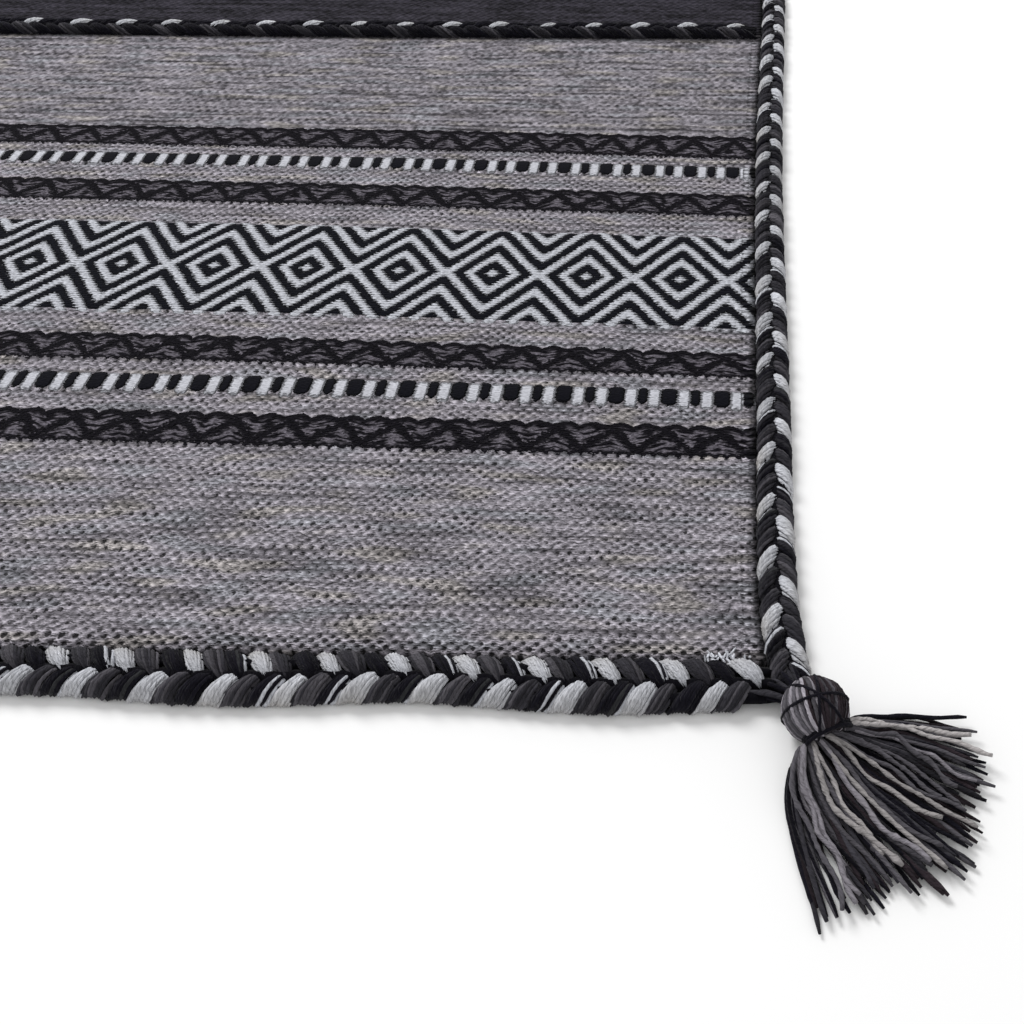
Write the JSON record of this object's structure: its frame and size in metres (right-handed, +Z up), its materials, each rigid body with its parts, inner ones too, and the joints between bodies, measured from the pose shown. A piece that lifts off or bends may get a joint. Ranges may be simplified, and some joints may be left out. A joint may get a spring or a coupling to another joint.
{
  "type": "kilim rug",
  "caption": "Flat-woven rug with woven pattern bands, braided edges, two raised plaits across the cloth and a tassel at each corner.",
  "frame": {"origin": "middle of the rug on the surface it lies on, which is the bottom centre of the bounding box", "axes": "+X across the rug's width, +Y along its length, +Z up out of the patterned face"},
  "size_m": [1.3642, 1.971, 0.0255],
  "materials": {
    "woven_cotton": "matte flat-woven cotton, grey heather with black and pale bands",
    "braid_yarn": "matte plaited cotton yarn in black, dark grey and pale lobes",
    "plait_yarn": "matte plaited cotton yarn, black with pale lobes",
    "tassel_yarn": "matte loose cotton yarn, black and dark grey with a few light strands"
  },
  "bodies": {
    "root": {"rug_cloth": "woven_cotton", "braid_right": "braid_yarn", "braid_left": "braid_yarn", "braid_near": "braid_yarn", "braid_far": "braid_yarn", "plait_near": "plait_yarn", "plait_far": "plait_yarn", "tassel_near_right": "tassel_yarn", "tassel_far_left": "tassel_yarn", "tassel_near_left": "tassel_yarn", "tassel_far_right": "tassel_yarn"}
  },
  "joints": []
}
